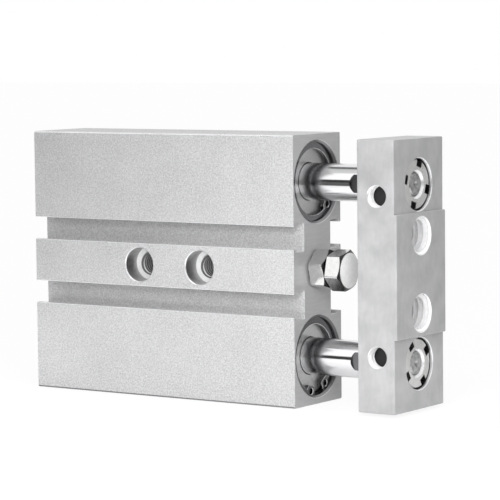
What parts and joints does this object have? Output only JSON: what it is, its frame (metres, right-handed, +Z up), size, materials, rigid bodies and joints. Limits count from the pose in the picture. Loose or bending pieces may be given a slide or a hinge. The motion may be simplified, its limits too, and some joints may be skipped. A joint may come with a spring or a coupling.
{
  "type": "double piston cylinder",
  "caption": "Compact air cylinder: parallel rods slide out of a slotted aluminium barrel and push a yoke plate, with an adjustable stop screw between them.",
  "frame": {"origin": "middle of the barrel's lower narrow face, which the part stands on", "axes": "+X the way the rods travel out, +Z up across both rods, -Y the wide face shown in the picture"},
  "size_m": [0.0953, 0.0202, 0.058],
  "materials": {
    "anodised_aluminium": "blasted and clear anodised, fine speckle",
    "milled_aluminium": "milled and clear anodised",
    "cap_aluminium": "turned",
    "bright_steel": "bright zinc plated",
    "ring_steel": "phosphated spring steel",
    "rod_chrome": "hard chromed, ground and polished",
    "bush_bronze": "plain bearing bronze",
    "seal_rubber": "matt",
    "cushion_rubber": "matt polyurethane",
    "magnet_plastic": "plastic-bonded ferrite",
    "guide_plastic": "filled bearing plastic"
  },
  "bodies": {
    "housing": {"barrel": "anodised_aluminium", "upper_bearing_cap": "cap_aluminium", "lower_bearing_cap": "cap_aluminium", "upper_rear_cap": "cap_aluminium", "lower_rear_cap": "cap_aluminium", "upper_front_retaining_ring": "ring_steel", "lower_front_retaining_ring": "ring_steel", "upper_rear_retaining_ring": "ring_steel", "lower_rear_retaining_ring": "ring_steel", "upper_bearing_bush": "bush_bronze", "lower_bearing_bush": "bush_bronze", "upper_rod_seal": "seal_rubber", "lower_rod_seal": "seal_rubber", "upper_front_o_ring": "seal_rubber", "lower_front_o_ring": "seal_rubber", "upper_rear_o_ring": "seal_rubber", "lower_rear_o_ring": "seal_rubber", "upper_front_cushion": "cushion_rubber", "lower_front_cushion": "cushion_rubber", "upper_rear_cushion": "cushion_rubber", "lower_rear_cushion": "cushion_rubber"},
    "carriage": {"yoke_plate": "milled_aluminium", "upper_piston_rod": "rod_chrome", "lower_piston_rod": "rod_chrome", "upper_slotted_nut": "bright_steel", "lower_slotted_nut": "bright_steel", "upper_piston": "cap_aluminium", "lower_piston": "cap_aluminium", "upper_piston_front_seal": "seal_rubber", "lower_piston_front_seal": "seal_rubber", "upper_piston_rear_seal": "seal_rubber", "lower_piston_rear_seal": "seal_rubber", "upper_magnet_ring": "magnet_plastic", "lower_magnet_ring": "magnet_plastic", "upper_guide_ring": "guide_plastic", "lower_guide_ring": "guide_plastic"},
    "stop": {"stop_screw": "bright_steel"},
    "lock_nut": {"stop_lock_nut": "bright_steel"}
  },
  "joints": [
    {"name": "stroke", "type": "slide", "parent": "housing", "child": "carriage", "axis": [1, 0, 0], "range_m": [0, 0.025]},
    {"name": "stop_adjust", "type": "slide", "parent": "housing", "child": "stop", "axis": [1, 0, 0], "range_m": [0, 0.004]},
    {"name": "lock_nut_turn", "type": "hinge", "parent": "housing", "child": "lock_nut", "pos_m": [0.0348, 0, 0.029], "axis": [1, 0, 0], "continuous": true}
  ]
}
